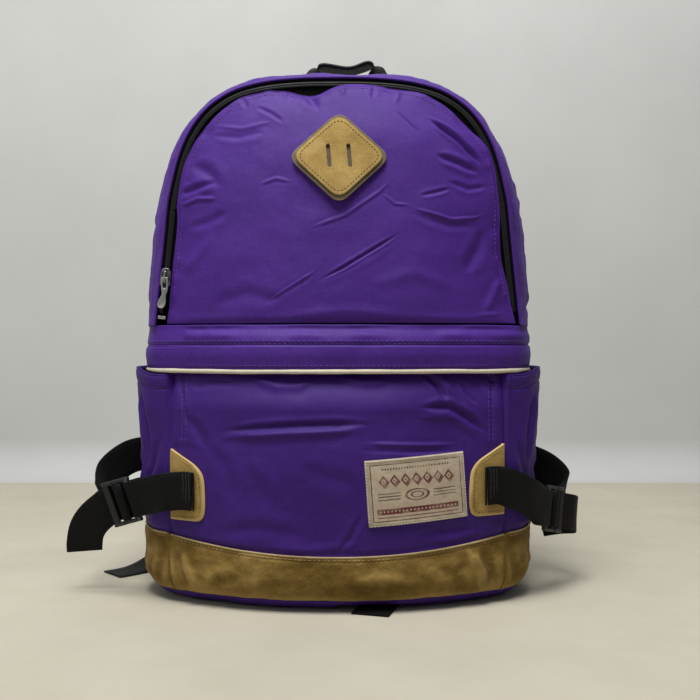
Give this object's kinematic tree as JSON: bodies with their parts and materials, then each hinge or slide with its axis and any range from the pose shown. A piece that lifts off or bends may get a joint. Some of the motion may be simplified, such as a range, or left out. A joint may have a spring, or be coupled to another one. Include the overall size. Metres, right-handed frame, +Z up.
{
  "type": "racket backpack",
  "caption": "Arched day backpack with a zipped front panel, a zipped front pocket under a lifting storm flap, side slip pockets, leather base, compression straps and padded shoulder straps.",
  "frame": {"origin": "centre of the base on the surface the bag stands on", "axes": "+X to the right seen from the front, +Y towards the wearer's back, +Z up"},
  "size_m": [0.4337, 0.2184, 0.4677],
  "materials": {
    "purple_nylon": "plain-woven polyester with a slight sheen",
    "lining": "plain-woven lining",
    "tan_leather": "suede-like split leather",
    "brown_backing": "moulded backing",
    "black_webbing": "ribbed webbing",
    "black_plastic": "moulded acetal",
    "black_padding": "air mesh over foam",
    "zip_tape": "woven tape",
    "zip_coil": "nylon coil",
    "nickel": "plated zinc",
    "cream_piping": "corded piping",
    "woven_label": "woven label"
  },
  "bodies": {
    "bag": {"back_pad": "black_padding", "back_panel": "purple_nylon", "band_piping_left": "cream_piping", "band_piping_right": "cream_piping", "base_trim_front": "tan_leather", "base_trim_left": "tan_leather", "base_trim_right": "tan_leather", "bottom_panel": "purple_nylon", "compression_strap_left": "black_webbing", "compression_strap_right": "black_webbing", "divider_panel": "lining", "gusset_left": "purple_nylon", "gusset_right": "purple_nylon", "gusset_top": "purple_nylon", "haul_loop_end_left": "black_webbing", "haul_loop_end_right": "black_webbing", "main_zip_coil_end": "zip_coil", "main_zip_coil_outer": "zip_coil", "main_zip_stop": "nickel", "main_zip_tape_end": "zip_tape", "main_zip_tape_outer": "zip_tape", "pocket_front": "purple_nylon", "pocket_zip_coil": "zip_coil", "pocket_zip_tape_lower": "zip_tape", "pocket_zip_tape_upper": "zip_tape", "shoulder_webbing_left": "black_webbing", "shoulder_webbing_right": "black_webbing", "side_pocket_left": "purple_nylon", "side_pocket_right": "purple_nylon", "side_tab_left": "tan_leather", "side_tab_right": "tan_leather", "side_wall_left": "lining", "side_wall_right": "lining", "storm_band": "purple_nylon", "strap_anchor_left": "purple_nylon", "strap_anchor_right": "purple_nylon", "strap_stub_left": "black_webbing", "strap_stub_right": "black_webbing", "woven_label": "woven_label"},
    "front_panel": {"front_panel": "purple_nylon", "lash_patch_backing": "brown_backing", "lash_patch": "tan_leather", "main_zip_coil_inner": "zip_coil", "main_zip_tape_inner": "zip_tape"},
    "storm_flap": {"storm_flap": "purple_nylon", "flap_piping": "cream_piping"},
    "main_slider": {"main_slider": "nickel", "main_slider_bridge": "nickel"},
    "main_pull": {"main_pull": "nickel"},
    "pocket_slider": {"pocket_slider": "black_plastic"},
    "pocket_pull": {"pocket_pull": "black_plastic"},
    "haul_loop": {"haul_loop": "black_webbing"},
    "side_lock_left": {"side_lock_left": "black_plastic"},
    "side_lock_right": {"side_lock_right": "black_plastic"},
    "shoulder_strap_left": {"shoulder_strap_left": "black_padding", "shoulder_lock_loop_left": "black_webbing"},
    "shoulder_strap_right": {"shoulder_strap_right": "black_padding", "shoulder_lock_loop_right": "black_webbing"},
    "shoulder_lock_left": {"shoulder_lock_left": "black_plastic"},
    "shoulder_lock_right": {"shoulder_lock_right": "black_plastic"}
  },
  "joints": [
    {"name": "front_panel_open", "type": "hinge", "parent": "bag", "child": "front_panel", "pos_m": [0, -0.0838, 0.2228], "axis": [1, 0, 0], "range_deg": [0, 70]},
    {"name": "storm_flap_lift", "type": "hinge", "parent": "bag", "child": "storm_flap", "pos_m": [0, -0.0883, 0.206], "axis": [-1, 0, 0], "range_deg": [0, 25]},
    {"name": "main_slider_run", "type": "slide", "parent": "bag", "child": "main_slider", "axis": [0.102, 0, 0.9948], "range_m": [-0.018, 0.036]},
    {"name": "main_pull_swing", "type": "hinge", "parent": "main_slider", "child": "main_pull", "pos_m": [-0.13915, -0.0511, 0.25945], "axis": [0.9948, 0, -0.102], "range_deg": [-150, 0]},
    {"name": "pocket_slider_run", "type": "slide", "parent": "bag", "child": "pocket_slider", "axis": [1, 0, 0], "range_m": [-0.012, 0.072]},
    {"name": "pocket_pull_swing", "type": "hinge", "parent": "pocket_slider", "child": "pocket_pull", "pos_m": [-0.03, -0.08075, 0.2022], "axis": [-1, 0, 0], "range_deg": [0, 14]},
    {"name": "haul_loop_flop", "type": "hinge", "parent": "bag", "child": "haul_loop", "pos_m": [0.009, 0.0704, 0.4245], "axis": [1, 0, 0], "range_deg": [-80, 48]},
    {"name": "side_lock_left_tilt", "type": "hinge", "parent": "bag", "child": "side_lock_left", "pos_m": [-0.16509, -0.04963, 0.08208], "axis": [0.3152, 0.0559, -0.9474], "range_deg": [-20, 20], "deforming": ["strap_stub_left", "compression_strap_left"]},
    {"name": "side_lock_right_tilt", "type": "hinge", "parent": "bag", "child": "side_lock_right", "pos_m": [0.17172, -0.03494, 0.07221], "axis": [-0.126, -0.1566, -0.9796], "range_deg": [-20, 20], "deforming": ["strap_stub_right", "compression_strap_right"]},
    {"name": "shoulder_strap_left_swing", "type": "hinge", "parent": "bag", "child": "shoulder_strap_left", "pos_m": [-0.046, 0.0785, 0.398], "axis": [1, 0, 0], "range_deg": [0, 30], "deforming": ["shoulder_webbing_left"]},
    {"name": "shoulder_lock_left_tilt", "type": "hinge", "parent": "shoulder_strap_left", "child": "shoulder_lock_left", "pos_m": [-0.0945, 0.09614, 0.11078], "axis": [0.8809, -0.0028, -0.4734], "range_deg": [-15, 15], "deforming": ["shoulder_webbing_left"]},
    {"name": "shoulder_strap_right_swing", "type": "hinge", "parent": "bag", "child": "shoulder_strap_right", "pos_m": [0.046, 0.0785, 0.398], "axis": [1, 0, 0], "range_deg": [0, 30], "deforming": ["shoulder_webbing_right"]},
    {"name": "shoulder_lock_right_tilt", "type": "hinge", "parent": "shoulder_strap_right", "child": "shoulder_lock_right", "pos_m": [0.0945, 0.09614, 0.11078], "axis": [-0.8809, -0.0028, -0.4734], "range_deg": [-15, 15], "deforming": ["shoulder_webbing_right"]}
  ]
}
